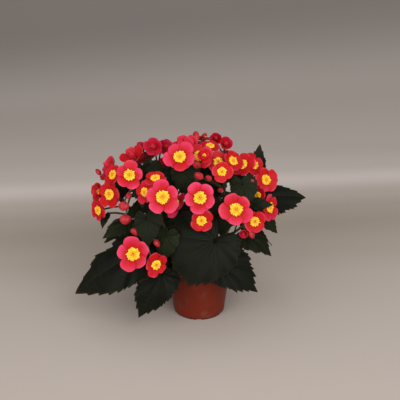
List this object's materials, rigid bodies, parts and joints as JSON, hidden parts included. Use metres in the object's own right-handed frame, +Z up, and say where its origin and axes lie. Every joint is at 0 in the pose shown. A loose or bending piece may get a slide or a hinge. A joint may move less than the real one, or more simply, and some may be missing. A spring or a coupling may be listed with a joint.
{
  "type": "potted begonia",
  "caption": "Bushy flowering pot plant with dark lopsided toothed leaves and red-pink double flowers with ruffled yellow eyes, in a plain tapered red-brown plastic nursery pot.",
  "frame": {"origin": "middle of the pot's underside, on the face that the pot stands on", "axes": "+Z up out of the pot, -Y to the front that the picture shows, +X to its right, along the plant's greatest width"},
  "size_m": [0.3809, 0.2976, 0.3322],
  "materials": {
    "pot": "satin moulded red-brown plastic",
    "soil": "loose dark peat",
    "stem": "juicy green-brown stem, slightly glossy",
    "spray": "soft velvety petals, yellow eyes, green-brown stalks",
    "leaf": "leathery dark green leaf with a soft sheen"
  },
  "bodies": {
    "root": {"pot": "pot", "soil": "soil", "stem_1": "stem", "stem_2": "stem", "stem_3": "stem", "stem_4": "stem", "stem_5": "stem", "stem_6": "stem", "stem_7": "stem", "spray_back_left": "spray", "spray_back_right": "spray", "spray_back_top": "spray", "spray_front_centre": "spray", "spray_front_right": "spray", "spray_left_centre": "spray", "spray_left_outer": "spray", "spray_left_top": "spray", "spray_left_upper": "spray", "spray_low_left": "spray", "spray_right_back": "spray", "spray_right_low": "spray", "spray_right_outer": "spray", "spray_right_top": "spray", "spray_top_centre": "spray", "spray_top_right": "spray", "leaf_back_centre": "leaf", "leaf_back_left": "leaf", "leaf_back_low": "leaf", "leaf_back_right": "leaf", "leaf_back_upper": "leaf", "leaf_back_upper_left": "leaf", "leaf_crown_back": "leaf", "leaf_crown_front": "leaf", "leaf_crown_left": "leaf", "leaf_crown_mid": "leaf", "leaf_crown_mid_left": "leaf", "leaf_crown_right": "leaf", "leaf_front_dark": "leaf", "leaf_front_large": "leaf", "leaf_front_low": "leaf", "leaf_front_under": "leaf", "leaf_left_back": "leaf", "leaf_left_centre": "leaf", "leaf_left_hanging": "leaf", "leaf_left_low": "leaf", "leaf_left_mid": "leaf", "leaf_low_front": "leaf", "leaf_low_left": "leaf", "leaf_mid_back": "leaf", "leaf_mid_back_left": "leaf", "leaf_mid_back_right": "leaf", "leaf_mid_front": "leaf", "leaf_mid_left": "leaf", "leaf_right_back": "leaf", "leaf_right_hanging": "leaf", "leaf_right_low": "leaf", "leaf_right_outer": "leaf", "leaf_right_small": "leaf", "leaf_right_upright": "leaf", "leaf_rim_front": "leaf"}
  },
  "joints": []
}
